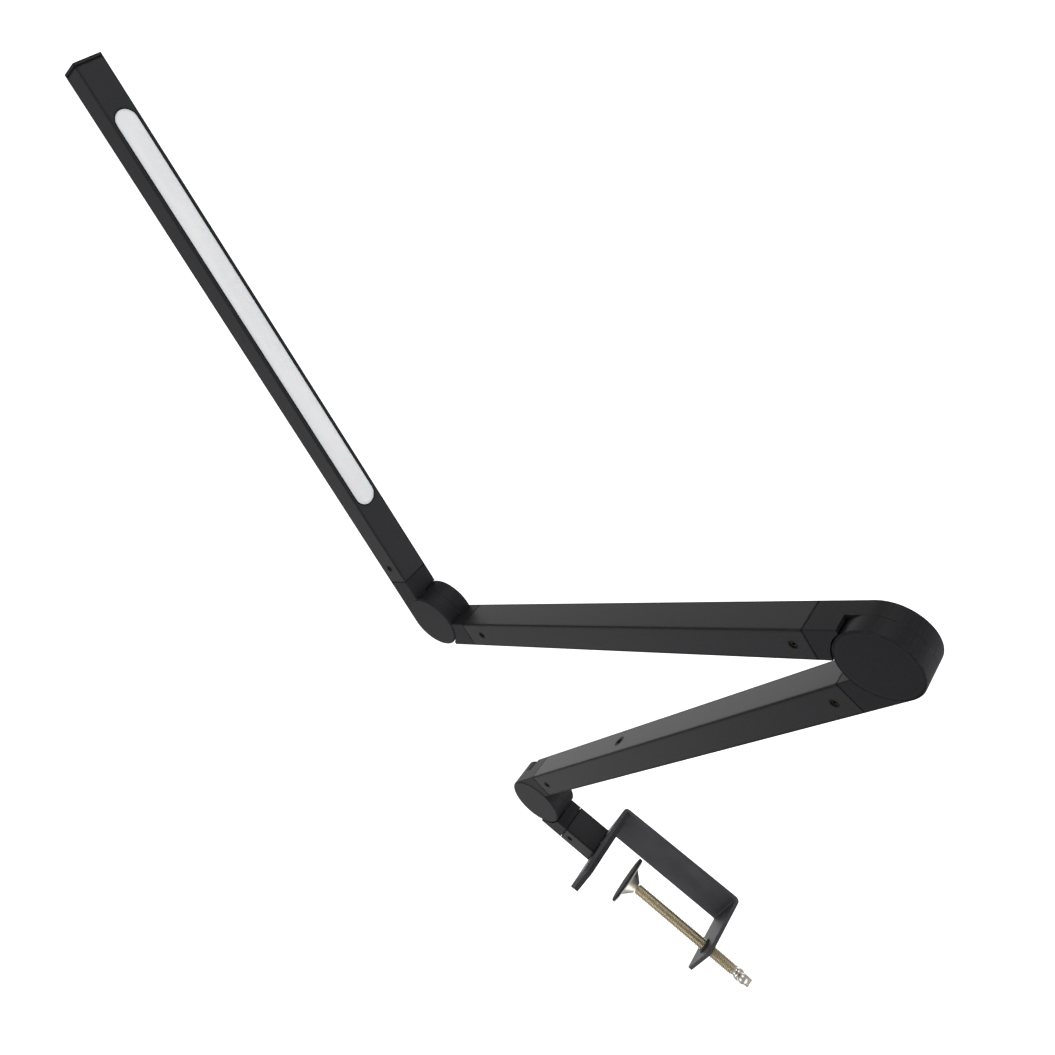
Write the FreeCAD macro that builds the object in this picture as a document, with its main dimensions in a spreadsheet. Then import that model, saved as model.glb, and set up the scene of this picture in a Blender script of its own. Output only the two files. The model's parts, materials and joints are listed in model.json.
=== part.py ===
"""Clamp-mounted folding bar light: C clamp, swivelling stem, two folding arms and an LED light bar.

Frame: millimetres, +Z up along the swivel axis, origin where that axis meets the underside of the
upper jaw's liner, clamp opening towards -Y, arms reaching towards +X and turned a little about Z.

Every arm knuckle is a half-lap hub. Its own frame has the hinge pin at the origin along Y, the arm
leaving along +X, the disc on the -Y side and the arm's two flat faces at Z = hub_radius - tube_height
and Z = hub_radius, so that both arms of a hinge lie side by side when folded and flush when straight.
"""
import math
import os

import FreeCAD
import Part
import Sketcher

DIMENSIONS = {
    # square tube section and hubs
    "tube_width": 26, "tube_height": 22, "tube_wall": 1.5, "edge_round": 0.7,
    "hub_radius": 24.5, "hub_clearance": 0.8, "lap_gap": 0.12, "rim_chamfer": 0.5,
    "seam_gap": 0.35, "spigot_play": 0.1, "spigot_length": 24, "wedge_tip": 13,
    # arm reaches between hinge axes, seams measured from each hinge axis, and angles above +X
    "lower_reach": 457, "upper_reach": 388.5, "bar_length": 529,
    "base_seam": 32.2, "elbow_lower_seam": 34, "elbow_upper_seam": 33, "head_upper_seam": 39.3,
    "head_bar_seam": 42.3, "stem_seam": 34.6,
    "swivel_angle": -5, "lower_angle": -18, "upper_angle": 141.4, "bar_angle": 48.8,
    # stem
    "pivot_height": 73, "stem_length": 65.6, "stem_spigot": 12, "plug_length": 15, "thrust_washer": 0.4,
    # hinge hardware
    "cap_thickness": 1.2, "cap_inset": 0.8, "well_radius": 15, "web_seat": 6.3, "pin_radius": 5,
    "pin_bore": 2.5, "head_radius": 8, "head_thickness": 2, "fit_play": 0.05,
    "disc_radius": 20, "disc_thickness": 0.2, "spring_thickness": 0.7, "ring_nut_thickness": 1.4,
    "channel_height": 3.4, "riser_low": 8, "riser_start": 2, "riser_end": 8,
    # set screws, measured beyond each seam
    "set_screw_radius": 2, "set_screw_length": 5, "set_screw_sink": 0.8, "set_screw_hex": 2,
    "base_screw": 12.4, "elbow_lower_screw": 14, "elbow_upper_screw": 11.4, "head_upper_screw": 18.2,
    "head_bar_screw": 15.2, "stem_screw": 7.4,
    # inlet in the lower arm
    "inlet_place": 172, "inlet_radius": 4, "inlet_bore": 2.8, "inlet_depth": 10, "inlet_pin": 1,
    "inlet_block": 11,
    # light bar
    "cap_plate": 3, "cap_plug": 9, "window_start": 118, "window_end": 488, "window_width": 19.6,
    "diffuser_play": 0.15, "diffuser_skin": 1.5, "diffuser_lip": 2, "lip_overhang": 6,
    "heat_strip": 2, "board_thickness": 1.6, "board_width": 18, "chip_size": 5, "chip_height": 0.8,
    "chip_count": 46, "driver_width": 18,
    # clamp
    "jaw_width": 50, "strip": 3, "liner": 4, "spine_inner": 32, "jaw_reach": 38.5, "heel_reach": 23.3,
    "throat_floor": -108, "bend_inner": 1.2, "end_round": 5, "liner_inset": 0.3,
    "screw_place": -8, "screw_radius": 5, "nut_radius": 6.8, "nut_height": 1.8, "nut_neck": 6,
    "nut_lip": 1.5, "nut_lip_radius": 7, "swivel_radius": 4, "swivel_head": 7, "swivel_head_height": 2,
    # clamp screw, from the pad down
    "pad_top": -27, "pad_radius": 22, "pad_rubber": 1.8, "pad_plate": 0.8, "cup_rim": 14,
    "cup_crown": 10, "cup_depth": 4.4, "cup_lip": 5.2, "cup_play": 0.1,
    "ball_centre": -34.8, "ball_radius": 5, "ball_half": 3, "journal_radius": 2.5,
    "journal_rivet": 3.3, "shoulder": -38.8, "thread_end": -135, "neck_radius": 3.9,
    "neck_length": 1.6, "boss_radius": 5.2, "boss_flat": 4, "boss_height": 7, "grip_radius": 4,
    "grip_end": -151.2, "grip_hole": -140.2, "bar_radius": 2, "bar_half": 24, "knob_radius": 4.3,
    "bar_turn": -29,
    # leads
    "lead_radius": 1.2, "lead_bend": 2.4, "lane_inset": 4.3,
}

doc = FreeCAD.newDocument("folding_bar_light")
dims = doc.addObject("Spreadsheet::Sheet", "dims")
for row, (alias, number) in enumerate(DIMENSIONS.items(), start=1):
    dims.set(f"A{row}", alias)
    dims.set(f"B{row}", str(number))
    dims.setAlias(f"B{row}", alias)
doc.recompute()

NODES = {}


def value(expression):
    """The number that an expression over the dimensions gives now."""
    return float(dims.evalExpression(expression))


# ---------------------------------------------------------------- frames

HINGE_STEP = "(2*dims.hub_radius - dims.tube_height)"
PIVOT_OFFSET = "(dims.hub_radius - dims.tube_height/2)"
ELBOW_RUN = (f"({PIVOT_OFFSET} + dims.lower_reach*cos(dims.lower_angle)"
             f" - {HINGE_STEP}*sin(dims.lower_angle))")
ELBOW_RISE = (f"(dims.pivot_height + dims.lower_reach*sin(dims.lower_angle)"
              f" + {HINGE_STEP}*cos(dims.lower_angle))")
HEAD_RUN = (f"({ELBOW_RUN} + dims.upper_reach*cos(dims.upper_angle)"
            f" + {HINGE_STEP}*sin(dims.upper_angle))")
HEAD_RISE = (f"({ELBOW_RISE} + dims.upper_reach*sin(dims.upper_angle)"
             f" - {HINGE_STEP}*cos(dims.upper_angle))")


def linkage_frame(run, rise, tilt, flipped):
    """A frame in the arms' plane: origin at (run, rise), turned by tilt about Y, flipped about X."""
    flip = "*rotation(vector(1; 0; 0); 180)" if flipped else ""
    return (f"placement(vector({run}*cos(dims.swivel_angle); {run}*sin(dims.swivel_angle); {rise});"
            f" rotation(vector(0; 0; 1); dims.swivel_angle)*rotation(vector(0; 1; 0); {tilt}){flip})")


FRAMES = {
    "clamp": None,
    "stem": linkage_frame(PIVOT_OFFSET, "dims.pivot_height", "90", True),
    "lower": linkage_frame(PIVOT_OFFSET, "dims.pivot_height", "-dims.lower_angle", False),
    "lower_end": linkage_frame(ELBOW_RUN, ELBOW_RISE, "(180 - dims.lower_angle)", False),
    "upper": linkage_frame(ELBOW_RUN, ELBOW_RISE, "-dims.upper_angle", True),
    "upper_end": linkage_frame(HEAD_RUN, HEAD_RISE, "(180 - dims.upper_angle)", True),
    "bar": linkage_frame(HEAD_RUN, HEAD_RISE, "-dims.bar_angle", False),
    "grip": ("placement(vector(0; dims.screw_place; dims.grip_hole);"
             " rotation(vector(0; 0; 1); dims.bar_turn))"),
}


def node(label, thing, frame):
    """Names a finished piece, puts it in its frame and lists it for export."""
    thing.Label = label
    if FRAMES[frame]:
        thing.setExpression("Placement", FRAMES[frame])
    NODES[label] = thing
    return thing


# ---------------------------------------------------------------- sketch and feature helpers

def new_body(name):
    return doc.addObject("PartDesign::Body", name)


def sketch_on(body, plane, offset):
    """A sketch on one of the body's own origin planes, moved along the plane's normal."""
    sketch = body.newObject("Sketcher::SketchObject", "Sketch")
    support = next(item for item in body.Origin.OriginFeatures if item.Role == plane + "_Plane")
    sketch.AttachmentSupport = [(support, "")]
    sketch.MapMode = "FlatFace"
    sketch.setExpression(".AttachmentOffset.Base.z", offset)
    return sketch


def pin_point(sketch, geometry, end, x, y):
    """Ties a sketch point to the origin by two driven distances."""
    for kind, expression in (("DistanceX", x), ("DistanceY", y)):
        index = sketch.addConstraint(
            Sketcher.Constraint(kind, -1, 1, geometry, end, value(expression)))
        sketch.setExpression(f"Constraints[{index}]", expression)


def polygon(*corners):
    """Draws a closed outline through corners, each a pair of expressions."""
    def draw(sketch):
        points = [FreeCAD.Vector(value(x), value(y), 0) for x, y in corners]
        count = len(points)
        first = sketch.GeometryCount
        for index, point in enumerate(points):
            sketch.addGeometry(Part.LineSegment(point, points[(index + 1) % count]))
        for index, (x, y) in enumerate(corners):
            following = first + (index + 1) % count
            sketch.addConstraint(Sketcher.Constraint("Coincident", first + index, 2, following, 1))
            pin_point(sketch, first + index, 1, x, y)
    return draw


def rectangle(x_low, y_low, x_high, y_high):
    return polygon((x_low, y_low), (x_high, y_low), (x_high, y_high), (x_low, y_high))


def circle(x, y, radius):
    def draw(sketch):
        centre = FreeCAD.Vector(value(x), value(y), 0)
        index = sketch.addGeometry(Part.Circle(centre, FreeCAD.Vector(0, 0, 1), value(radius)))
        pin_point(sketch, index, 3, x, y)
        bound = sketch.addConstraint(Sketcher.Constraint("Radius", index, value(radius)))
        sketch.setExpression(f"Constraints[{bound}]", radius)
    return draw


def prism(body, plane, low, high, draw, cut=False):
    """Pads or pockets an outline between two levels along the plane's axis."""
    toward_positive = plane != "XZ"
    start, end = (low, high) if toward_positive else (f"-({high})", f"-({low})")
    sketch = sketch_on(body, plane, end if cut else start)
    draw(sketch)
    feature = body.newObject("PartDesign::Pocket" if cut else "PartDesign::Pad", "Prism")
    feature.Profile = sketch
    feature.setExpression("Length", f"({high}) - ({low})")
    return feature


def turned(body, axis, profile, cut=False):
    """Revolves a (radius, height) outline about the body's Y or Z axis."""
    sketch = sketch_on(body, "XY" if axis == "Y" else "XZ", "0")
    polygon(*profile)(sketch)
    feature = body.newObject("PartDesign::Groove" if cut else "PartDesign::Revolution", "Turned")
    feature.Profile = sketch
    feature.ReferenceAxis = (sketch, ["V_Axis"])
    feature.Angle = 360
    return feature


def ring(inner, outer, low, high):
    """The section of a plain ring or disc, for turned()."""
    return ((inner, low), (outer, low), (outer, high), (inner, high))


def round_edges(body, radius, wanted):
    """Rounds the edges of the body so far that wanted(start, end) picks."""
    doc.recompute()
    base = body.Tip
    names = []
    for index, edge in enumerate(base.Shape.Edges, start=1):
        ends = [vertex.Point for vertex in edge.Vertexes]
        if len(ends) == 2 and isinstance(edge.Curve, Part.Line) and wanted(*ends):
            names.append(f"Edge{index}")
    fillet = body.newObject("PartDesign::Fillet", "Round")
    fillet.Base = (base, names)
    fillet.setExpression("Radius", radius)
    return fillet


def along(axis):
    """Picks the edges that run along one axis (0, 1 or 2)."""
    def wanted(start, end):
        step = end - start
        others = [abs(step[item]) for item in range(3) if item != axis]
        return abs(step[axis]) > 1 and max(others) < 1e-6
    return wanted


def primitive(kind, name, **sizes):
    """A Part primitive with each size, or place X, Y, Z, driven by an expression."""
    thing = doc.addObject("Part::" + kind, name)
    for key, expression in sizes.items():
        path = f".Placement.Base.{key.lower()}" if key in ("X", "Y", "Z") else key
        thing.setExpression(path, expression)
    return thing


def group(label, frame, pieces):
    """Several separate solids of one kind as one node."""
    compound = doc.addObject("Part::Compound", label)
    compound.Links = pieces
    return node(label, compound, frame)


# ---------------------------------------------------------------- shared sections

LOW_FACE = "(dims.hub_radius - dims.tube_height)"
HIGH_FACE = "dims.hub_radius"
MID_FACE = "(dims.hub_radius - dims.tube_height/2)"
HALF_WIDTH = "dims.tube_width/2"
LEAD_LANE = "(dims.hub_radius - dims.lane_inset)"
LEAD_LAYER = f"(dims.cap_thickness + dims.lead_radius + 0.3 - {HALF_WIDTH})"
TUBE_LAYER = f"({LEAD_LAYER} + 0.6)"


def section(inset):
    """The tube's outline in the YZ plane, drawn in by inset on every side."""
    return rectangle(f"-({HALF_WIDTH} - ({inset}))", f"{LOW_FACE} + ({inset})",
                     f"{HALF_WIDTH} - ({inset})", f"{HIGH_FACE} - ({inset})")


def side_span(side, depth):
    """Low and high Y of a cut that enters the tube's side face by depth, on the -Y or +Y side."""
    if side < 0:
        return f"-({HALF_WIDTH}) - 1", f"-({HALF_WIDTH}) + ({depth})"
    return f"{HALF_WIDTH} - ({depth})", f"{HALF_WIDTH} + 1"


# ---------------------------------------------------------------- knuckles and their hardware

def knuckle(label, frame, seam, screw, side, spigot="dims.spigot_length", wired=True):
    """A half-lap hub: disc, block out to the seam and a spigot that enters the tube."""
    body = new_body(label)
    face = f"-({HALF_WIDTH})"
    rim = "dims.hub_radius"
    turned(body, "Y", (("0", face), (f"{rim} - dims.rim_chamfer", face),
                       (rim, f"{face} + dims.rim_chamfer"), (rim, "-dims.lap_gap"),
                       ("0", "-dims.lap_gap")))
    block = new_body(label + "_block")
    prism(block, "YZ", "0", seam, section("0"))
    round_edges(block, "dims.edge_round", along(0))
    prism(block, "YZ", f"{seam} - 1", f"{seam} + {spigot}",
          section("dims.tube_wall + dims.spigot_play"))
    sweep = circle("0", "0", f"{rim} + dims.hub_clearance")
    prism(block, "XZ", "-dims.lap_gap", f"{HALF_WIDTH} + 1", sweep, cut=True)
    tip = rectangle("-1", "0", "dims.wedge_tip", f"{rim} + 1")
    prism(block, "XZ", "-dims.lap_gap", f"{HALF_WIDTH} + 1", tip, cut=True)
    joined = body.newObject("PartDesign::Boolean", "Joined")
    joined.Type = "Fuse"
    joined.addObjects([block])

    outside = f"{face} - 1"
    prism(body, "XZ", outside, f"{face} + dims.cap_thickness",
          circle("0", "0", f"{rim} - dims.cap_inset + dims.spigot_play"), cut=True)
    prism(body, "XZ", outside, "-dims.web_seat", circle("0", "0", "dims.well_radius"), cut=True)
    prism(body, "XZ", outside, "1", circle("0", "0", "dims.pin_radius + dims.fit_play"), cut=True)
    if wired:
        low, high = f"{LEAD_LANE} - dims.channel_height/2", f"{LEAD_LANE} + dims.channel_height/2"
        end = f"{seam} + {spigot} + 1"
        slot = polygon(("dims.riser_start", "dims.riser_low"), ("dims.riser_end", "dims.riser_low"),
                       ("dims.riser_end", low), (end, low), (end, high), ("dims.riser_start", high))
        prism(body, "XZ", f"{face} + dims.cap_thickness", "-dims.web_seat", slot, cut=True)
    low, high = side_span(side, "dims.set_screw_sink + dims.set_screw_length + 0.5")
    hole = circle(f"{seam} + {screw}", MID_FACE, "dims.set_screw_radius + dims.spigot_play")
    prism(body, "XZ", low, high, hole, cut=True)
    return node(label, body, frame)


def disc_cap(label, frame, proud):
    """The flat cover that closes a hub's outer face."""
    body = new_body(label)
    back = f"-({HALF_WIDTH}) + dims.cap_thickness"
    front = f"-({HALF_WIDTH}) - ({proud})"
    edge = f"{HIGH_FACE} - dims.cap_inset"
    turned(body, "Y", (("0", front), (f"{edge} - 0.4", front), (edge, f"{front} + 0.4"),
                       (edge, back), ("0", back)))
    return node(label, body, frame)


def hinge_hardware(name, frame):
    """Hollow pin, thin ring nut, spring washer and friction disc of one hinge."""
    seat = "dims.web_seat"
    nut_face = f"{seat} + dims.fit_play + dims.spring_thickness"
    nut_end = f"{nut_face} + dims.ring_nut_thickness"
    pin = new_body(name + "_pin")
    turned(pin, "Y", (("dims.pin_bore", f"-{seat} - dims.head_thickness"),
                      ("dims.head_radius", f"-{seat} - dims.head_thickness"),
                      ("dims.head_radius", f"-{seat}"), ("dims.pin_radius", f"-{seat}"),
                      ("dims.pin_radius", nut_end), ("dims.pin_bore", nut_end)))
    node(name + "_hollow_pin", pin, frame)
    bore = "dims.pin_radius + dims.fit_play"
    washers = (("ring_nut", "dims.head_radius + 1", nut_face, nut_end),
               ("spring_washer", "dims.head_radius + 1", f"{seat} + dims.fit_play", nut_face),
               ("friction_disc", "dims.disc_radius", "-dims.lap_gap",
                "-dims.lap_gap + dims.disc_thickness"))
    for kind, radius, low, high in washers:
        body = new_body(f"{name}_{kind}")
        turned(body, "Y", ring(bore, radius, low, high))
        node(f"{name}_{kind}", body, frame)


def set_screws(label, frame, places, side):
    """Socket set screws that hold a tube on its spigots; places are distances along the arm."""
    pieces = []
    for place in places:
        high = f"{HALF_WIDTH} - dims.set_screw_sink"
        start = f"-({high})" if side < 0 else f"{high} - dims.set_screw_length"
        mouth = start if side < 0 else f"{high} - dims.set_screw_length/2"
        shank = primitive("Cylinder", "Shank", Radius="dims.set_screw_radius",
                          Height="dims.set_screw_length", X=place, Y=start, Z=MID_FACE)
        socket = primitive("Prism", "Socket", Circumradius="dims.set_screw_hex/2/cos(30)",
                           Height="dims.set_screw_length/2", X=place, Y=mouth, Z=MID_FACE)
        for solid in (shank, socket):
            solid.setExpression(".Placement.Rotation.Angle", "-90")
            solid.Placement.Rotation.Axis = FreeCAD.Vector(1, 0, 0)
        screw = doc.addObject("Part::Cut", "Screw")
        screw.Base = shank
        screw.Tool = socket
        pieces.append(screw)
    return group(label, frame, pieces)


def tube(label, frame, start, end, holes, side):
    """A length of tube between two seams, with side holes for its set screws."""
    body = new_body(label)
    low, high = f"{start} + dims.seam_gap", end
    prism(body, "YZ", low, high, section("0"))
    round_edges(body, "dims.edge_round", along(0))
    prism(body, "YZ", f"{low} - 1", f"{high} + 1", section("dims.tube_wall"), cut=True)
    span = side_span(side, "dims.tube_wall + 0.5")
    for place in holes:
        prism(body, "XZ", *span, circle(place, MID_FACE, "dims.set_screw_radius + dims.spigot_play"),
              cut=True)
    return body


def rounded_path(points, radius):
    """Straight runs through the points, with an arc of the given radius at each corner."""
    edges = []
    start = points[0]
    for before, corner, after in zip(points, points[1:], points[2:]):
        back = (before - corner).normalize()
        ahead = (after - corner).normalize()
        half_turn = back.getAngle(ahead) / 2
        run = radius / math.tan(half_turn)
        middle = corner + (back + ahead).normalize() * (radius / math.sin(half_turn) - radius)
        entry, leave = corner + back * run, corner + ahead * run
        edges.append(Part.LineSegment(start, entry).toShape())
        edges.append(Part.Arc(entry, middle, leave).toShape())
        start = leave
    edges.append(Part.LineSegment(start, points[-1]).toShape())
    return Part.Wire(edges)


def hub_route(run, rise, way, seam):
    """A lead's corners from a hinge's hollow pin out to its tube; way is "+" or "-" along X."""
    lane = f"{rise} {way} {LEAD_LANE}"
    return (
        (run, "-0.6", rise),
        (run, LEAD_LAYER, rise),
        (f"{run} {way} 5", LEAD_LAYER, lane),
        (f"{run} {way} ({seam} - 8)", LEAD_LAYER, lane),
        (f"{run} {way} ({seam} - 1)", TUBE_LAYER, lane),
        (f"{run} {way} ({seam} + dims.spigot_length + 8)", TUBE_LAYER, lane),
    )


def lead(label, frame, points):
    """A round lead along its route, each corner a triple of expressions."""
    corners = [FreeCAD.Vector(*(value(item) for item in point)) for point in points]
    spine = rounded_path(corners, value("dims.lead_bend"))
    profile = Part.Wire(Part.makeCircle(value("dims.lead_radius"), corners[0], corners[1] - corners[0]))
    feature = doc.addObject("Part::Feature", label)
    feature.Shape = spine.makePipeShell([profile], True, False)
    return node(label, feature, frame)


# ---------------------------------------------------------------- clamp

def clamp():
    """The bent strip, its liner and the screw's nut."""
    bracket = new_body("bracket")
    inner, outer = "dims.spine_inner", "dims.spine_inner + dims.strip"
    top, ceiling = "dims.liner + dims.strip", "dims.liner"
    floor, bottom = "dims.throat_floor", "dims.throat_floor - dims.strip"
    prism(bracket, "YZ", "-dims.jaw_width/2", "dims.jaw_width/2", polygon(
        ("-dims.jaw_reach", ceiling), (inner, ceiling), (inner, floor), ("-dims.heel_reach", floor),
        ("-dims.heel_reach", bottom), (outer, bottom), (outer, top), ("-dims.jaw_reach", top)))
    is_across = along(0)

    def bend_at(level_y):
        return lambda start, end: is_across(start, end) and abs(start.y - level_y) < 1e-6

    round_edges(bracket, "dims.bend_inner + dims.strip", bend_at(value(outer)))
    round_edges(bracket, "dims.bend_inner", bend_at(value(inner)))
    round_edges(bracket, "dims.end_round",
                lambda start, end: abs(start.z - end.z) > 1 and start.y < value("-dims.heel_reach") + 1)
    prism(bracket, "XY", "0", f"{top} + 1",
          circle("0", "0", "dims.swivel_radius + 2*dims.fit_play"), cut=True)
    prism(bracket, "XY", f"{bottom} - 1", f"{floor} + 1",
          circle("0", "dims.screw_place", "dims.nut_neck"), cut=True)
    node("clamp_bracket", bracket, "clamp")

    liner = new_body("liner")
    edge = "dims.jaw_width/2 - dims.liner_inset"
    reach = "dims.jaw_reach - dims.liner_inset"
    prism(liner, "XY", "0", "dims.liner",
          rectangle(f"-({edge})", f"-({reach})", edge, f"{inner} - dims.bend_inner"))
    round_edges(liner, "dims.end_round - dims.liner_inset",
                lambda start, end: abs(start.z - end.z) > 1 and start.y < 0)
    prism(liner, "XY", "1", "dims.liner + 1", circle("0", "0", "dims.swivel_head + 2"), cut=True)
    node("jaw_liner", liner, "clamp")

    nut = new_body("nut")
    bore = "dims.screw_radius + dims.fit_play"
    neck = "dims.nut_neck - dims.fit_play"
    turned(nut, "Z", ((bore, f"{bottom} - dims.nut_lip"),
                      ("dims.nut_lip_radius", f"{bottom} - dims.nut_lip"),
                      ("dims.nut_lip_radius", bottom), (neck, bottom), (neck, floor),
                      ("dims.nut_radius", floor),
                      ("dims.nut_radius", f"{floor} + dims.nut_height - 0.8"),
                      ("dims.nut_radius - 0.8", f"{floor} + dims.nut_height"),
                      (bore, f"{floor} + dims.nut_height")))
    nut.setExpression("Placement.Base.y", "dims.screw_place")
    node("clamp_nut", nut, "clamp")


def clamp_screw():
    """Screw, its ball, the tilting pad and the sliding grip bar."""
    def on_screw_axis(label, body):
        body.setExpression("Placement.Base.y", "dims.screw_place")
        node(label, body, "clamp")

    screw = new_body("screw")
    rivet = "dims.ball_centre + dims.ball_half + 0.2"
    journal, thread, neck = "dims.journal_radius", "dims.screw_radius", "dims.neck_radius"
    turned(screw, "Z", (
        ("0", "dims.grip_end"), ("dims.grip_radius - 0.8", "dims.grip_end"),
        ("dims.grip_radius", "dims.grip_end + 0.8"),
        ("dims.grip_radius", "dims.grip_hole - dims.boss_height/2"),
        ("dims.boss_radius", "dims.grip_hole - dims.boss_flat/2"),
        ("dims.boss_radius", "dims.grip_hole + dims.boss_flat/2"),
        (neck, "dims.thread_end - dims.neck_length"), (neck, "dims.thread_end"),
        (f"{thread} - 0.7", "dims.thread_end"), (thread, "dims.thread_end + 0.7"),
        (thread, "dims.shoulder - 0.7"), (f"{thread} - 0.7", "dims.shoulder"),
        (journal, "dims.shoulder"), (journal, rivet), ("dims.journal_rivet", rivet),
        ("dims.journal_rivet", f"{rivet} + 0.5"), (journal, f"{rivet} + 1"), ("0", f"{rivet} + 1")))
    hole = sketch_on(screw, "YZ", "dims.boss_radius + 1")
    circle("0", "dims.grip_hole", "dims.bar_radius + 2*dims.fit_play")(hole)
    bore = screw.newObject("PartDesign::Pocket", "GripHole")
    bore.Profile = hole
    bore.setExpression("Length", "2*(dims.boss_radius + 1)")
    screw.setExpression("Placement", "placement(vector(0; dims.screw_place; 0);"
                        " rotation(vector(0; 0; 1); dims.bar_turn))")
    node("clamp_screw", screw, "clamp")

    ball = doc.addObject("Part::Sphere", "Ball")
    ball.setExpression("Radius", "dims.ball_radius")
    ball.setExpression("Angle1", "-asin(dims.ball_half/dims.ball_radius)")
    ball.setExpression("Angle2", "asin(dims.ball_half/dims.ball_radius)")
    bore = primitive("Cylinder", "BallBore", Radius="dims.journal_radius + dims.fit_play",
                     Height="4*dims.ball_radius", Z="-2*dims.ball_radius")
    bush = doc.addObject("Part::Cut", "BallBush")
    bush.Base = ball
    bush.Tool = bore
    bush.setExpression("Placement.Base.y", "dims.screw_place")
    bush.setExpression("Placement.Base.z", "dims.ball_centre")
    node("swivel_ball", bush, "clamp")

    plate_top = "dims.pad_top - dims.pad_rubber"
    plate = f"({plate_top} - dims.pad_plate)"
    socket = "(dims.ball_radius + dims.cup_play)"
    mouth = "dims.ball_centre - dims.ball_half"
    cup_blank = new_body("cup_blank")
    turned(cup_blank, "Z", (
        ("0", mouth), ("dims.cup_lip", mouth), ("dims.cup_crown - 0.6", f"{plate} - dims.cup_depth"),
        ("dims.cup_crown", f"{plate} - dims.cup_depth + 0.6"), ("dims.cup_rim", plate),
        ("dims.pad_radius - 0.3", plate), ("dims.pad_radius - 0.3", plate_top), ("0", plate_top)))
    cavity = doc.addObject("Part::Sphere", "Socket")
    cavity.setExpression("Radius", socket)
    cavity.setExpression(".Placement.Base.z", "dims.ball_centre")
    relief = primitive("Cylinder", "Relief", Radius="dims.journal_rivet + 1.2",
                       Height=f"{plate} - dims.ball_centre", Z="dims.ball_centre")
    tool = doc.addObject("Part::MultiFuse", "SocketTool")
    tool.Shapes = [cavity, relief]
    cup = doc.addObject("Part::Cut", "Cup")
    cup.Base = cup_blank
    cup.Tool = tool
    on_screw_axis("pad_cup", cup)

    rubber = new_body("rubber")
    turned(rubber, "Z", (("0", plate_top), ("dims.pad_radius", plate_top),
                         ("dims.pad_radius", "dims.pad_top - 0.5"),
                         ("dims.pad_radius - 0.5", "dims.pad_top"), ("0", "dims.pad_top")))
    on_screw_axis("pad_rubber", rubber)

    bar = primitive("Cylinder", "GripBar", Radius="dims.bar_radius",
                    Height="2*dims.bar_half", X="-dims.bar_half")
    bar.Placement.Rotation = FreeCAD.Rotation(FreeCAD.Vector(0, 1, 0), 90)
    group("grip_bar", "grip", [bar])
    knobs = []
    for place in ("-dims.bar_half", "dims.bar_half"):
        knob = doc.addObject("Part::Sphere", "Knob")
        knob.setExpression("Radius", "dims.knob_radius")
        knob.setExpression(".Placement.Base.x", place)
        drilled = doc.addObject("Part::Cut", "DrilledKnob")
        drilled.Base = knob
        drilled.Tool = primitive("Cylinder", "KnobBore", Radius="dims.bar_radius",
                                 Height="2*dims.bar_half", X="-dims.bar_half")
        drilled.Tool.Placement.Rotation = FreeCAD.Rotation(FreeCAD.Vector(0, 1, 0), 90)
        knobs.append(drilled)
    group("grip_bar_knobs", "grip", knobs)


# ---------------------------------------------------------------- stem

def stem():
    """Swivel screw with its washers, the plug, the short tube and the base knuckle."""
    top = "dims.liner + dims.strip"
    head_top = "dims.liner - 0.6"
    screw = new_body("swivel")
    head_low = f"{head_top} - dims.swivel_head_height"
    tip = f"{top} + dims.thrust_washer + dims.plug_length - 1"
    turned(screw, "Z", (("0", head_low), ("dims.swivel_head - 0.5", head_low),
                        ("dims.swivel_head", f"{head_low} + 0.5"), ("dims.swivel_head", head_top),
                        ("dims.swivel_radius", head_top), ("dims.swivel_radius", f"{tip} - 0.8"),
                        ("dims.swivel_radius - 0.8", tip), ("0", tip)))
    node("swivel_screw", screw, "clamp")

    bore = "dims.swivel_radius + dims.fit_play"
    for label, radius, low, high in (
            ("swivel_spring_washer", "dims.swivel_head", head_top, "dims.liner - dims.fit_play"),
            ("swivel_thrust_washer", "dims.tube_height/2 - 0.6", f"{top} + dims.fit_play",
             f"{top} + dims.thrust_washer")):
        washer = new_body(label)
        turned(washer, "Z", ring(bore, radius, low, high))
        node(label, washer, "clamp")

    plug = new_body("plug")
    foot = "dims.stem_length"
    prism(plug, "YZ", f"{foot} - dims.plug_length", foot,
          section("dims.tube_wall + dims.spigot_play"))
    prism(plug, "YZ", f"{foot} - dims.plug_length - 1", f"{foot} + 1",
          circle("0", MID_FACE, bore), cut=True)
    node("stem_plug", plug, "stem")

    place = "dims.stem_seam + dims.stem_screw"
    node("stem_tube", tube("stem_tube", "stem", "dims.stem_seam", foot, [place], 1), "stem")
    knuckle("stem_knuckle", "stem", "dims.stem_seam", "dims.stem_screw", 1,
            spigot="dims.stem_spigot", wired=False)
    set_screws("stem_set_screw", "stem", [place], 1)
    disc_cap("base_back_cap", "stem", "0")


# ---------------------------------------------------------------- arms

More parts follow.
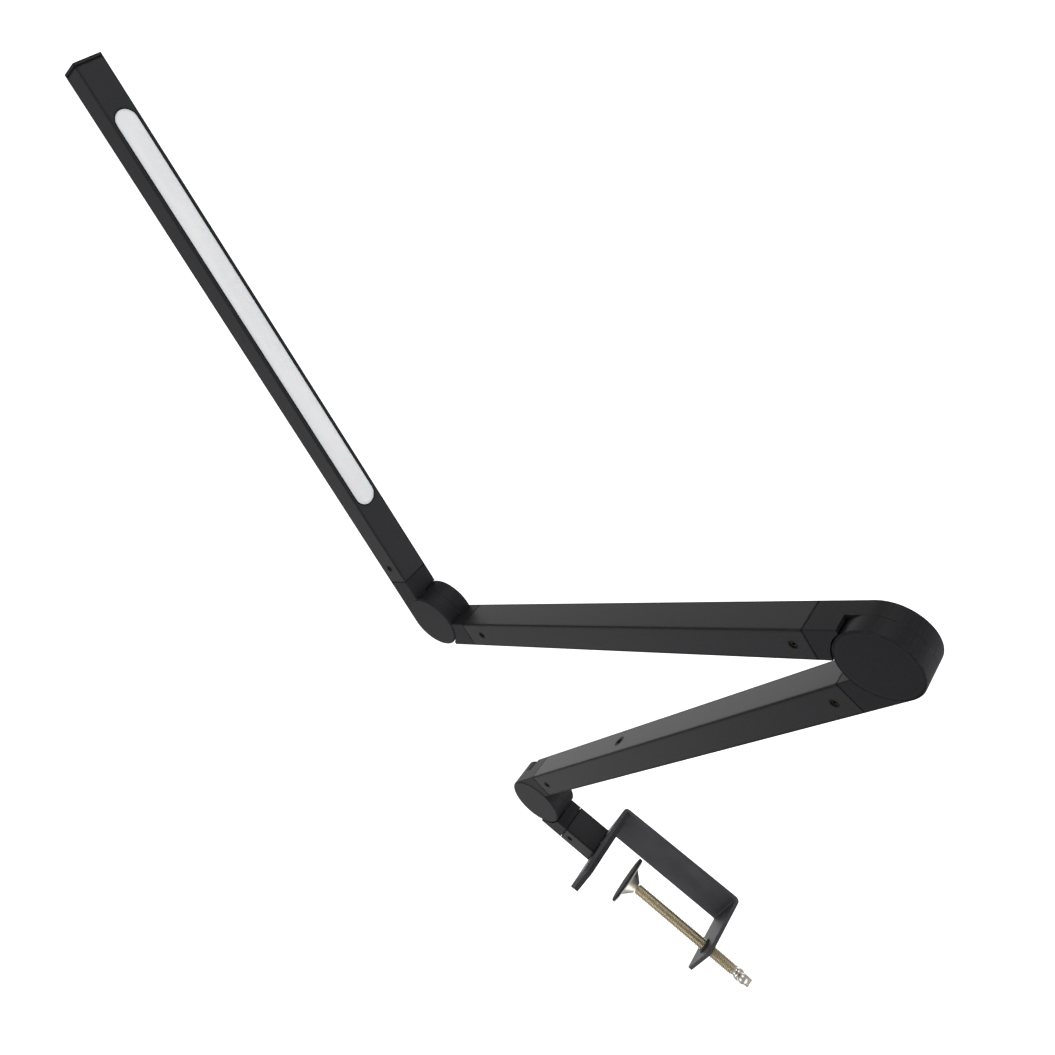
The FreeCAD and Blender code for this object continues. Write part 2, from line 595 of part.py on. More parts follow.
def lower_arm():
    """Lower arm: two knuckles, the tube with the inlet, and both hinges' hardware."""
    knuckle("lower_base_knuckle", "lower", "dims.base_seam", "dims.base_screw", -1, wired=False)
    knuckle("lower_elbow_knuckle", "lower_end", "dims.elbow_lower_seam", "dims.elbow_lower_screw", -1)
    near = "dims.base_seam + dims.base_screw"
    far = "dims.lower_reach - dims.elbow_lower_seam - dims.elbow_lower_screw"
    end = "dims.lower_reach - dims.elbow_lower_seam - dims.seam_gap"
    body = tube("lower_arm_tube", "lower", "dims.base_seam", end, [near, far], -1)
    hole = "dims.inlet_radius + dims.fit_play"
    prism(body, "XY", f"{HIGH_FACE} - dims.tube_wall - 1", f"{HIGH_FACE} + 1",
          circle("dims.inlet_place", "0", hole), cut=True)
    node("lower_arm_tube", body, "lower")
    set_screws("lower_arm_set_screws", "lower", [near, far], -1)

    inlet = new_body("inlet")
    half = "dims.inlet_block/2"
    ledge = f"{HIGH_FACE} - dims.tube_wall - 0.1"
    floor = f"{ledge} - dims.inlet_depth"
    prism(inlet, "XY", floor, ledge,
          rectangle(f"dims.inlet_place - {half}", f"-{half}", f"dims.inlet_place + {half}", half))
    round_edges(inlet, "1", along(2))
    prism(inlet, "XY", f"{ledge} - 1", f"{HIGH_FACE} - 0.2",
          circle("dims.inlet_place", "0", "dims.inlet_radius"))
    prism(inlet, "XY", f"{floor} + 1.5", f"{HIGH_FACE} + 1",
          circle("dims.inlet_place", "0", "dims.inlet_bore"), cut=True)
    node("inlet_socket", inlet, "lower")
    centre_pin = primitive("Cylinder", "CentrePin", Radius="dims.inlet_pin", X="dims.inlet_place",
                           Height="dims.inlet_depth - 2.5", Z=f"{floor} + 1.5")
    group("inlet_centre_pin", "lower", [centre_pin])

    route = hub_route("dims.lower_reach", HINGE_STEP, "-", "dims.elbow_lower_seam")
    lead("lower_arm_lead", "lower", (
        (f"dims.inlet_place + {half} + 0.5", "0", f"{floor} + 4"),
        (f"dims.inlet_place + {half} + 8", "0", f"{floor} + 4"),
        ("dims.inlet_place + 40", TUBE_LAYER, f"{HINGE_STEP} - {LEAD_LANE}"),
    ) + route[-2::-1])
    for name, frame in (("base", "lower"), ("elbow", "lower_end")):
        hinge_hardware(name, frame)
    disc_cap("base_front_cap", "lower", "0.4")
    disc_cap("elbow_front_cap", "lower_end", "0")


def upper_arm():
    """Upper arm: two knuckles, a tube, covers and the lead between the hollow pins."""
    knuckle("upper_elbow_knuckle", "upper", "dims.elbow_upper_seam", "dims.elbow_upper_screw", 1)
    knuckle("upper_head_knuckle", "upper_end", "dims.head_upper_seam", "dims.head_upper_screw", 1)
    near = "dims.elbow_upper_seam + dims.elbow_upper_screw"
    far = "dims.upper_reach - dims.head_upper_seam - dims.head_upper_screw"
    end = "dims.upper_reach - dims.head_upper_seam - dims.seam_gap"
    body = tube("upper_arm_tube", "upper", "dims.elbow_upper_seam", end, [near, far], 1)
    node("upper_arm_tube", body, "upper")
    set_screws("upper_arm_set_screws", "upper", [near, far], 1)
    disc_cap("elbow_back_cap", "upper", "0")
    disc_cap("head_back_cap", "upper_end", "0")

    near_route = hub_route("0", "0", "+", "dims.elbow_upper_seam")
    far_route = hub_route("dims.upper_reach", HINGE_STEP, "-", "dims.head_upper_seam")
    lead("upper_arm_lead", "upper", near_route + far_route[::-1])


# ---------------------------------------------------------------- light bar

def stadium(body, low, high, start, end, half, cut=False):
    """A slot shape along X with full round ends, between two levels of Z."""
    prism(body, "XY", low, high,
          rectangle(f"{start} + {half}", f"-({half})", f"{end} - {half}", half), cut)
    for middle in (f"{start} + {half}", f"{end} - {half}"):
        prism(body, "XY", low, high, circle(middle, "0", half), cut)


def light_bar():
    """Housing with its window, diffuser, board, chips, heat strip, driver and end cap."""
    knuckle("bar_knuckle", "bar", "dims.head_bar_seam", "dims.head_bar_screw", -1)
    place = "dims.head_bar_seam + dims.head_bar_screw"
    housing = tube("bar_housing", "bar", "dims.head_bar_seam", "dims.bar_length", [place], -1)
    half = "dims.window_width/2"
    stadium(housing, f"{LOW_FACE} - 1", f"{LOW_FACE} + dims.tube_wall + 0.2",
            "dims.window_start", "dims.window_end", half, cut=True)
    node("bar_housing", housing, "bar")
    set_screws("bar_set_screw", "bar", [place], -1)

    inner_face = f"{LOW_FACE} + dims.tube_wall + 0.05"
    diffuser = new_body("diffuser")
    play = "dims.diffuser_play"
    stadium(diffuser, f"{LOW_FACE} + 0.2", f"{inner_face} + 0.5", f"dims.window_start + {play}",
            f"dims.window_end - {play}", f"({half} - {play})")
    lip = f"{HALF_WIDTH} - dims.tube_wall - dims.spigot_play"
    prism(diffuser, "XY", inner_face, f"{inner_face} + dims.diffuser_lip",
          rectangle("dims.window_start - dims.lip_overhang", f"-({lip})",
                    "dims.window_end + dims.lip_overhang", lip))
    node("diffuser", diffuser, "bar")

    strip_top = f"{HIGH_FACE} - dims.tube_wall - 0.1"
    strip_low = f"({strip_top} - dims.heat_strip)"
    board_low = f"({strip_low} - dims.board_thickness)"
    start, end = "dims.window_start - 4", "dims.window_end + 4"
    heat = new_body("heat")
    prism(heat, "XY", strip_low, strip_top, rectangle(start, f"-({lip})", end, lip))
    node("heat_strip", heat, "bar")
    board = new_body("board")
    prism(board, "XY", board_low, strip_low,
          rectangle(start, "-dims.board_width/2", end, "dims.board_width/2"))
    node("led_board", board, "bar")

    first = "(dims.window_start + dims.chip_size)"
    pitch = f"((dims.window_end - dims.chip_size - {first})/(dims.chip_count - 1))"
    chips = [primitive("Box", "Chip", Length="dims.chip_size", Width="dims.chip_size",
                       Height="dims.chip_height", X=f"{first} + {index}*{pitch} - dims.chip_size/2",
                       Y="-dims.chip_size/2", Z=f"{board_low} - dims.chip_height")
             for index in range(int(value("dims.chip_count")))]
    group("led_chips", "bar", chips)

    seam = "dims.head_bar_seam"
    driver_start = f"{seam} + dims.spigot_length + 10"
    driver_end = "dims.window_start - dims.lip_overhang - 2"
    driver = new_body("driver")
    prism(driver, "XY", strip_low, strip_top, rectangle(
        driver_start, "-dims.driver_width/2", driver_end, "dims.driver_width/2"))
    parts_on_board = ((3, 10, 8, 5), (13, 20, 6, 3), (24, 31, 10, 4))
    for low, high, width, tall in parts_on_board:
        prism(driver, "XY", f"{strip_low} - {tall}", strip_low, rectangle(
            f"{driver_start} + {low}", f"-{width / 2}", f"{driver_start} + {high}", f"{width / 2}"))
    node("driver_board", driver, "bar")

    cap = new_body("cap")
    prism(cap, "YZ", "dims.bar_length + dims.seam_gap", "dims.bar_length + dims.cap_plate", section("0"))
    round_edges(cap, "dims.edge_round", along(0))
    prism(cap, "YZ", "dims.bar_length - dims.cap_plug", "dims.bar_length + dims.seam_gap",
          section("dims.tube_wall + dims.spigot_play"))
    prism(cap, "YZ", "dims.bar_length - dims.cap_plug - 1", "dims.bar_length",
          section("2*dims.tube_wall + dims.spigot_play"), cut=True)
    node("bar_end_cap", cap, "bar")

    lead("bar_lead", "bar", hub_route("0", "0", "+", seam)[:-1] + (
        (f"{driver_start} - 8", TUBE_LAYER, LEAD_LANE),
        (f"{driver_start} - 2.5", "-4", strip_low)))
    hinge_hardware("head", "bar")
    disc_cap("head_front_cap", "bar", "0.4")


clamp()
clamp_screw()
stem()
lower_arm()
upper_arm()
light_bar()
doc.recompute()

for item in doc.Objects:
    if "Invalid" in item.State or "Error" in item.State:
        raise RuntimeError(f"{item.Name} ({item.Label}) did not recompute: {item.State}")
os.makedirs("parts", exist_ok=True)
for name, thing in NODES.items():
    if thing.Shape.isNull() or not thing.Shape.isValid():
        raise RuntimeError(f"{name} has no valid shape")
    thing.Shape.exportStep(f"parts/{name}.step")
print(len(NODES), "nodes written")
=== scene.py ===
"""Clamp-mounted folding bar light: finishes, the screw's thread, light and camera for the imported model."""

import json
import math

import bmesh
import bpy
from mathutils import Matrix, Quaternion, Vector


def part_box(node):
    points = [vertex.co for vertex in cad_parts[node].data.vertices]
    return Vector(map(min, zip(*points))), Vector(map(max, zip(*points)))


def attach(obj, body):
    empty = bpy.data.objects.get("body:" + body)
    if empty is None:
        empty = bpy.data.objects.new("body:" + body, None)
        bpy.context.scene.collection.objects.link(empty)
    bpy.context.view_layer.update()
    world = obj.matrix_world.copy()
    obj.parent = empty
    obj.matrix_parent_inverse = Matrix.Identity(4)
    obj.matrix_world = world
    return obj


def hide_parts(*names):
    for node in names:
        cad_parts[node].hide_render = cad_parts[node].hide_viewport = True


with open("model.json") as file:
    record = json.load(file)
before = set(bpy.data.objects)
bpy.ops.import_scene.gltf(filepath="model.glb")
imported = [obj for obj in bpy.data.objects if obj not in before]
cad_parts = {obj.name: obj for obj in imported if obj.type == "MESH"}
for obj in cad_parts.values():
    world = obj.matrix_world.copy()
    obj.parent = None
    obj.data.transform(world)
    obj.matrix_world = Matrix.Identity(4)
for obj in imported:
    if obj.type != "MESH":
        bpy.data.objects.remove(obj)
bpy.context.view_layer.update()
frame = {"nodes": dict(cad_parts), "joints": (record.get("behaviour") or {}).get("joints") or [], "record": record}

JOINTS = {joint["name"]: joint for joint in frame["joints"]}
NODES = frame["nodes"]
MM = 0.001


# ---------------------------------------------------------------- places taken from the frame

def hinge(name):
    """A point on a joint's axis, in metres in the shared frame."""
    return Vector(JOINTS[name]["pos_m"])


def axes(along, across):
    """A rotation whose X runs along one direction and whose Y is as near as can be to another."""
    x = Vector(along).normalized()
    z = x.cross(Vector(across)).normalized()
    return Matrix((x, z.cross(x), z)).transposed().to_euler()


BASE, ELBOW, HEAD = hinge("base_fold"), hinge("elbow_fold"), hinge("head_fold")
HINGE_AXIS = Vector(JOINTS["elbow_fold"]["axis"])
SCREW_AXIS = hinge("screw_turn")
UP = Vector((0, 0, 1))


def centre(node):
    low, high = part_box(node)
    return (low + high) / 2


LOWER_RUN = axes(ELBOW - BASE, HINGE_AXIS)
UPPER_RUN = axes(HEAD - ELBOW, HINGE_AXIS)
BAR_RUN = axes(centre("bar_end_cap") - HEAD, HINGE_AXIS)
STEM_RUN = axes(UP, HINGE_AXIS)
ABOUT_HINGE = axes(UP.cross(HINGE_AXIS), HINGE_AXIS)
ABOUT_UPRIGHT = axes(Vector((1, 0, 0)), UP)
FLAT = (0, 0, 0)


# ---------------------------------------------------------------- surface helpers

# short names of the shader inputs that a Finish can be given a level for
LEVELS = {"specular": "Specular IOR Level", "coat": "Coat Weight", "glow": "Emission Strength",
          "milky": "Subsurface Weight", "milky_depth": "Subsurface Scale"}


class Finish:
    """A Principled material, with short ways to add what varies over the surface."""

    def __init__(self, name, colour, roughness, metallic=0.0, place=(0, 0, 0), turn=FLAT, **levels):
        self.material = bpy.data.materials.new(name)
        self.material.use_nodes = True
        self.tree = self.material.node_tree
        self.shader = self.tree.nodes["Principled BSDF"]
        self.shader.inputs["Base Color"].default_value = (*colour, 1)
        self.shader.inputs["Roughness"].default_value = roughness
        self.shader.inputs["Metallic"].default_value = metallic
        for level, number in levels.items():
            self.shader.inputs[LEVELS[level]].default_value = number
        self.material.diffuse_color = (*colour, 1)
        self.colour, self.roughness = colour, roughness
        self.tint, self.gloss, self.normal = None, None, None
        self.local = self.node("ShaderNodeMapping", vector_type="TEXTURE")
        self.local.inputs["Location"].default_value = place
        self.local.inputs["Rotation"].default_value = turn
        source = self.node("ShaderNodeTexCoord")
        self.link(source.outputs["Object"], self.local.inputs["Vector"])

    def node(self, kind, **settings):
        made = self.tree.nodes.new(kind)
        for key, setting in settings.items():
            setattr(made, key, setting)
        return made

    def link(self, output, socket):
        self.tree.links.new(output, socket)

    def stretched(self, scale):
        """Local coordinates in metres, times a scale for each direction."""
        made = self.node("ShaderNodeVectorMath", operation="MULTIPLY")
        self.link(self.local.outputs["Vector"], made.inputs[0])
        made.inputs[1].default_value = scale
        return made.outputs["Vector"]

    def grain(self, size, detail=3.0):
        """Noise of that feature size in metres, given for each direction or as one number."""
        sizes = size if isinstance(size, tuple) else (size, size, size)
        made = self.node("ShaderNodeTexNoise")
        made.inputs["Scale"].default_value = 1.0
        made.inputs["Detail"].default_value = detail
        made.inputs["Roughness"].default_value = 0.6
        self.link(self.stretched([1 / s for s in sizes]), made.inputs["Vector"])
        return made.outputs["Fac"]

    def radius(self):
        """Distance from the local Y axis."""
        flat = self.node("ShaderNodeVectorMath", operation="LENGTH")
        self.link(self.stretched((1, 0, 1)), flat.inputs[0])
        return flat.outputs["Value"]

    def rings(self, pitch, detail=2.0):
        """Noise that changes only with distance from the local Y axis, as turning leaves."""
        scaled = self.math("DIVIDE", self.radius(), pitch)
        made = self.node("ShaderNodeTexNoise", noise_dimensions="1D")
        made.inputs["Scale"].default_value = 1.0
        made.inputs["Detail"].default_value = detail
        self.link(scaled, made.inputs["W"])
        return made.outputs["Fac"]

    def math(self, operation, first, second=0.0):
        made = self.node("ShaderNodeMath", operation=operation)
        for socket, value in zip(made.inputs, (first, second)):
            if isinstance(value, (int, float)):
                socket.default_value = value
            else:
                self.link(value, socket)
        return made.outputs["Value"]

    def span(self, value, low, high, to_low=0.0, to_high=1.0):
        """value's range from low to high, spread over another range and held at its ends."""
        made = self.node("ShaderNodeMapRange", interpolation_type="SMOOTHSTEP")
        self.link(value, made.inputs["Value"])
        for socket, number in zip(made.inputs[1:5], (low, high, to_low, to_high)):
            socket.default_value = number
        return made.outputs["Result"]

    def edge(self, width):
        """1 within about that distance of an edge or tight bend, 0 on flats."""
        soft = self.node("ShaderNodeBevel", samples=6)
        soft.inputs["Radius"].default_value = width
        true = self.node("ShaderNodeNewGeometry")
        product = self.node("ShaderNodeVectorMath", operation="DOT_PRODUCT")
        self.link(soft.outputs["Normal"], product.inputs[0])
        self.link(true.outputs["True Normal"], product.inputs[1])
        flat, bent = 0.995, 0.85
        return self.span(product.outputs["Value"], flat, bent)

    def tinted(self, mask, colour):
        """Moves the base colour towards another one where the mask is 1."""
        made = self.node("ShaderNodeMix", data_type="RGBA")
        self.link(mask, made.inputs[0])
        made.inputs[6].default_value = (*self.colour, 1)
        if self.tint:
            self.link(self.tint, made.inputs[6])
        made.inputs[7].default_value = (*colour, 1)
        self.tint = made.outputs[2]
        self.link(self.tint, self.shader.inputs["Base Color"])
        return self

    def glossed(self, mask, roughness):
        """Moves the roughness towards another value where the mask is 1."""
        made = self.node("ShaderNodeMix", data_type="FLOAT")
        self.link(mask, made.inputs[0])
        made.inputs[2].default_value = self.roughness
        if self.gloss:
            self.link(self.gloss, made.inputs[2])
        made.inputs[3].default_value = roughness
        self.gloss = made.outputs[0]
        self.link(self.gloss, self.shader.inputs["Roughness"])
        return self

    def dulled(self, mask, level, low):
        """Lowers the specular level from one value to another where the mask is 1."""
        self.link(self.span(mask, 0.0, 0.7, level, low), self.shader.inputs[LEVELS["specular"]])
        return self

    def softened(self, width):
        """Rounds the shading of edges, as a broken edge or a coat of paint does."""
        soft = self.node("ShaderNodeBevel", samples=6)
        soft.inputs["Radius"].default_value = width
        self.normal = soft.outputs["Normal"]
        self.link(self.normal, self.shader.inputs["Normal"])
        return self

    def embossed(self, height, depth, strength=1.0):
        """Bumps of that depth in metres where height goes from 0 to 1."""
        made = self.node("ShaderNodeBump")
        made.inputs["Strength"].default_value = strength
        made.inputs["Distance"].default_value = depth
        self.link(height, made.inputs["Height"])
        if self.normal:
            self.link(self.normal, made.inputs["Normal"])
        self.normal = made.outputs["Normal"]
        self.link(self.normal, self.shader.inputs["Normal"])
        return self


def lighter(colour, factor):
    return tuple(min(1, c * factor) for c in colour)


def wear_and_edge_glint(finish, edge_width, rubbed_and_glint_colour, amount):
    """Rubbed edges and painted edge glint: lightens the colour in patches along edges, partly where the coat thins
    under hands and panels, partly as a painted highlight on chamfered edges.
    """
    patches = finish.span(finish.grain(6 * MM, detail=5), 0.42, 0.72)
    mask = finish.math("MULTIPLY", finish.edge(edge_width), finish.math("MULTIPLY", patches, amount))
    return finish.tinted(mask, rubbed_and_glint_colour)


# ---------------------------------------------------------------- finishes

ANODISED = (0.0108, 0.0109, 0.0124)
MILLED = (0.0092, 0.0093, 0.0106)
TURNED = (0.0072, 0.0072, 0.0086)


def extrusion(name, place, turn):
    """Satin black anodised tube: bead-blasted, with faint die lines along its run, and corners darkened as painted
    shade.
    """
    shine, corner_shine = 0.26, 0.03
    finish = Finish(name, ANODISED, 0.42, 0.0, place, turn, specular=shine)
    finish.tinted(finish.span(finish.grain(0.9 * MM, 4), 0.35, 0.75), lighter(ANODISED, 1.55))
    finish.tinted(finish.span(finish.grain((90 * MM, 14 * MM, 14 * MM), 2), 0.4, 0.7), lighter(ANODISED, 1.2))
    finish.glossed(finish.grain((60 * MM, 0.5 * MM, 0.5 * MM), 3), 0.5)
    # painted shade: the corners' colour darkened, their roughness raised and their shine lowered, for the dark
    # reflection along the rounded corners
    corner = finish.edge(3 * MM)
    finish.tinted(corner, lighter(ANODISED, 0.2))
    finish.glossed(corner, 0.85)
    finish.dulled(corner, shine, corner_shine)
    finish.softened(0.35 * MM)
    finish.embossed(finish.grain(0.28 * MM, 2), 0.02 * MM, 0.7)
    finish.embossed(finish.grain((40 * MM, 0.35 * MM, 0.35 * MM), 2), 0.01 * MM, 0.5)
    return finish.material


def knuckle(name, place):
    """Milled hinge end, anodised with the tubes, with fine lines along its hinge axis."""
    finish = Finish(name, MILLED, 0.48, 0.0, place, ABOUT_HINGE, specular=0.14)
    finish.tinted(finish.span(finish.grain(0.8 * MM, 4), 0.35, 0.75), lighter(MILLED, 1.5))
    lines = finish.grain((0.7 * MM, 40 * MM, 0.7 * MM), 3)
    finish.tinted(finish.span(lines, 0.45, 0.8), lighter(MILLED, 1.8))
    finish.glossed(finish.grain((1.1 * MM, 30 * MM, 1.1 * MM), 3), 0.52)
    finish.softened(0.3 * MM)
    finish.embossed(finish.grain((0.6 * MM, 60 * MM, 0.6 * MM), 2), 0.02 * MM, 0.6)
    finish.embossed(finish.grain(0.3 * MM, 2), 0.015 * MM, 0.5)
    # edges lightened in patches: partly rubbed coat, partly a painted glint of the chamfered edges at the hinge
    # gaps
    wear_and_edge_glint(finish, 0.5 * MM, (0.16, 0.165, 0.17), 0.35)
    return finish.material


def turned_cap(name, place):
    """Hub cover: a face turned in fine rings about the hinge, then anodised."""
    finish = Finish(name, TURNED, 0.44, 0.0, place, ABOUT_HINGE, specular=0.18)
    finish.tinted(finish.span(finish.rings(1.6 * MM, 3), 0.35, 0.7), (0.0104, 0.0104, 0.0122))
    finish.tinted(finish.span(finish.grain(0.9 * MM, 4), 0.4, 0.8), (0.0112, 0.0112, 0.0130))
    finish.glossed(finish.rings(2.4 * MM, 2), 0.5)
    finish.softened(0.3 * MM)
    finish.embossed(finish.rings(0.35 * MM, 2), 0.012 * MM, 0.7)
    finish.embossed(finish.grain(0.3 * MM, 2), 0.012 * MM, 0.5)
    return finish.material


def powder_coat():
    """Semi-matt black powder coat: fine orange peel, thin and rubbed at the strip's edges."""
    colour = (0.036, 0.036, 0.042)
    finish = Finish("powder_coat", colour, 0.48, 0.0, specular=0.26)
    finish.tinted(finish.span(finish.grain(1.1 * MM, 5), 0.35, 0.75), lighter(colour, 1.35))
    finish.tinted(finish.span(finish.grain(24 * MM, 3), 0.4, 0.7), lighter(colour, 0.85))
    finish.glossed(finish.grain(2.2 * MM, 3), 0.56)
    finish.softened(0.7 * MM)
    finish.embossed(finish.grain(1.4 * MM, 2), 0.05 * MM, 0.7)
    finish.embossed(finish.grain(0.35 * MM, 2), 0.02 * MM, 0.4)
    wear_and_edge_glint(finish, 0.9 * MM, (0.075, 0.075, 0.08), 0.22)
    return finish.material


def rubber():
    """Matt black sheet rubber, chalky in places."""
    colour = (0.013, 0.013, 0.0135)
    finish = Finish("rubber", colour, 0.82, 0.0, specular=0.3)
    finish.tinted(finish.span(finish.grain(1.6 * MM, 5), 0.4, 0.8), lighter(colour, 2.2))
    finish.glossed(finish.grain(3 * MM, 3), 0.7)
    finish.softened(0.4 * MM)
    finish.embossed(finish.grain(0.45 * MM, 4), 0.06 * MM, 0.6)
    return finish.material


def plated(name, colour, roughness, smut, place, turn, soiled=1.0):
    """Turned and plated metal: fine tool rings, cloudy gloss and some dark soil in the grain."""
    ring = 0.25 * MM
    finish = Finish(name, colour, roughness, 1.0, place, turn)
    finish.tinted(finish.span(finish.grain(2.5 * MM, 4), 0.4, 0.75), lighter(colour, 0.86))
    finish.tinted(finish.span(finish.grain(0.7 * MM, 4), 0.62, 0.8, 0.0, soiled), smut)
    finish.glossed(finish.grain(1.8 * MM, 3), min(1, roughness * 1.8))
    finish.softened(0.2 * MM)
    finish.embossed(finish.rings(ring, 2), 0.01 * MM, 0.35)
    return finish


def plain_moulding(name, colour, roughness, size=0.8 * MM):
    """Moulded plastic: slight colour clouding and a fine spark-eroded texture."""
    finish = Finish(name, colour, roughness)
    finish.tinted(finish.span(finish.grain(4 * MM, 4), 0.35, 0.75), lighter(colour, 0.82))
    finish.glossed(finish.grain(size * 2, 3), min(1, roughness * 1.3))
    finish.softened(0.25 * MM)
    finish.embossed(finish.grain(size, 3), 0.02 * MM, 0.5)
    return finish.material


def opal():
    """Opal acrylic: even and milky, greyer towards its edges as painted shade, with a faint clouding and a satin
    skin.
    """
    colour, cloud, border_shade = (0.52, 0.525, 0.535), (0.55, 0.555, 0.56), (0.38, 0.385, 0.40)
    finish = Finish("opal", colour, 0.34, 0.0, BASE, BAR_RUN, milky=0.25, milky_depth=4 * MM)
    finish.tinted(finish.span(finish.grain((120 * MM, 18 * MM, 18 * MM), 2), 0.4, 0.7), cloud)
    # painted shade: the colour greyed within 5 mm of the diffuser's edges
    finish.tinted(finish.edge(5 * MM), border_shade)
    finish.glossed(finish.grain(9 * MM, 3), 0.42)
    finish.softened(0.4 * MM)
    finish.embossed(finish.grain(0.5 * MM, 2), 0.008 * MM, 0.5)
    return finish.material


def circuit_board(name, colour, trace):
    """Solder mask with the faint ribs of the copper under it."""
    finish = Finish(name, colour, 0.32, 0.0, HEAD, BAR_RUN, coat=0.3)
    finish.tinted(finish.span(finish.grain((22 * MM, 1.1 * MM, 6 * MM), 1), 0.52, 0.56), trace)
    finish.glossed(finish.grain(2 * MM, 2), 0.45)
    finish.softened(0.2 * MM)
    finish.embossed(finish.grain((22 * MM, 1.1 * MM, 6 * MM), 1), 0.03 * MM, 0.6)
    return finish.material


def hub_of(node):
    """The hinge whose hub a node belongs to, as the nearest of the three."""
    return min((BASE, ELBOW, HEAD), key=lambda place: (place - centre(node)).length)


def finish_for(node, slot):
    """The finish of one node, made about that node's own axis where the finish has a direction."""
    runs = {"lower_arm_tube": LOWER_RUN, "upper_arm_tube": UPPER_RUN, "bar_housing": BAR_RUN,
            "bar_end_cap": BAR_RUN, "stem_tube": STEM_RUN, "stem_plug": STEM_RUN}
    if node in runs:
        return extrusion(f"anodised_{node}", centre(node), runs[node])
    if slot == "black_anodised":
        return knuckle(f"milled_{node}", hub_of(node))
    if slot == "cap_black":
        return turned_cap(f"turned_{node}", hub_of(node))
    if slot in ("steel", "brass", "yellow_zinc", "nickel"):
        return metal_for(node, slot)
    return shared(slot)


# bare or plated colour, roughness, colour of the soil in the grain
METALS = {"steel": ((0.56, 0.56, 0.55), 0.30, (0.20, 0.19, 0.18)),
          "brass": ((0.62, 0.50, 0.27), 0.30, (0.16, 0.12, 0.06)),
          # brass darkened nearly black: painted shade for set screws sunk in their holes
          "brass_in_hole_shade": ((0.10, 0.08, 0.045), 0.40, (0.03, 0.025, 0.02)),
          "yellow_zinc": ((0.72, 0.635, 0.475), 0.26, (0.22, 0.17, 0.11)),
          "nickel": ((0.90, 0.86, 0.79), 0.22, (0.50, 0.46, 0.40))}


PLATED_END = 16 * MM


def bright_end(finish, length):
    """The grip end of the screw, polished and nickel plated up to that distance from the low end."""
    low, high = (corner.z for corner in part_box("clamp_screw"))
    height = finish.node("ShaderNodeVectorMath", operation="DOT_PRODUCT")
    finish.link(finish.local.outputs["Vector"], height.inputs[0])
    height.inputs[1].default_value = (0, 1, 0)
    start = length - (high - low) / 2
    below = finish.span(height.outputs["Value"], start + 0.4 * MM, start - 0.4 * MM)
    finish.tinted(below, METALS["nickel"][0])
    finish.glossed(below, METALS["nickel"][1])


def metal_for(node, slot):
    """The metal of a slot, turned about the node's own axis; set screws are darkened nearly black, as painted
    shade of the holes they sit in.
    """
    set_screw_in_shade = node.endswith(("set_screw", "set_screws"))
    colour, roughness, smut = METALS["brass_in_hole_shade" if set_screw_in_shade else slot]
    turn = ABOUT_HINGE if node.startswith(("base_", "elbow_", "head_")) else ABOUT_UPRIGHT
    soiled = 0.2 if node == "clamp_screw" else 0.6
    finish = plated(f"{slot}_{node}", colour, roughness, smut, centre(node), turn, soiled=soiled)
    if node == "clamp_screw":
        bright_end(finish, PLATED_END)
    return finish.material


def mill_finish():
    return plated("mill_finish", (0.74, 0.75, 0.76), 0.38, (0.45, 0.45, 0.46), HEAD, BAR_RUN).material


# finishes that are the same on every node of their slot
SHARED = {
    "powder_coat": powder_coat,
    "liner_rubber": rubber,
    "opal": opal,
    "nylon": lambda: plain_moulding("nylon", (0.80, 0.79, 0.74), 0.45),
    "plug_black": lambda: plain_moulding("moulded_black", (0.005, 0.005, 0.0055), 0.6),
    "lead_black": lambda: plain_moulding("lead_sheath", (0.018, 0.018, 0.019), 0.55, 0.4 * MM),
    "chip": lambda: plain_moulding("phosphor", (0.85, 0.72, 0.25), 0.35, 0.3 * MM),
    "bare_aluminium": mill_finish,
    "board": lambda: circuit_board("white_mask", (0.82, 0.82, 0.80), (0.70, 0.70, 0.67)),
    "driver_green": lambda: circuit_board("green_mask", (0.03, 0.16, 0.07), (0.05, 0.24, 0.11)),
}
MADE = {}


def shared(slot):
    """The finish of a slot, made once."""
    if slot not in MADE:
        MADE[slot] = SHARED[slot]()
    return MADE[slot]


def dress(piece, material):
    """Gives every slot of a piece the material, without touching its mesh."""
    if not piece.material_slots:
        piece.data.materials.append(None)
    for place in piece.material_slots:
        place.link = "OBJECT"
        place.material = material


# ---------------------------------------------------------------- the screw with its thread

PITCH = 1.5 * MM
CREST, ROOT = 4.97 * MM, 4.12 * MM
ROOT_SHARE, FLANK_SHARE = 0.18, 0.62
RUN_OUT_RADIUS = 4.2 * MM
SHOULDER_DROP, GRIP_LENGTH = 4 * MM, 16.2 * MM
ROWS_PER_TURN, RING_STEPS = 8, 48
CROSS_HOLE_RADIUS = 2.1 * MM


def thread_radius(place, turn):
    """The radius of a metric thread with flat crests and rounded roots, at a height and an angle."""
    phase = (place / PITCH - turn / (2 * math.pi)) % 1
    slope = abs(2 * phase - 1)
    rise = min(1, max(0, (slope - ROOT_SHARE) / FLANK_SHARE))
    return ROOT + (CREST - ROOT) * rise * rise * (3 - 2 * rise)


# (height above the screw's low end, radius) in millimetres, up to the start of the thread
GRIP_PROFILE = (
    (0, 2.9), (0.25, 3.5), (0.8, 4.0), (1.9, 4.0), (2.1, 3.8), (2.5, 3.8), (2.7, 4.0),
    (7.3, 4.0), (7.8, 4.15), (8.4, 4.55), (9.0, 5.0), (9.6, 5.2), (12.4, 5.2), (13.0, 4.95),
    (13.6, 4.5), (14.1, 4.1), (14.6, 3.9), (16.1, 3.9))
# (height below the screw's high end, radius) in millimetres, where it holds the pad's ball
TIP_PROFILE = ((1.0, 2.5), (0.9, 3.2), (0.5, 3.3), (0.1, 2.6), (0, 1.8))


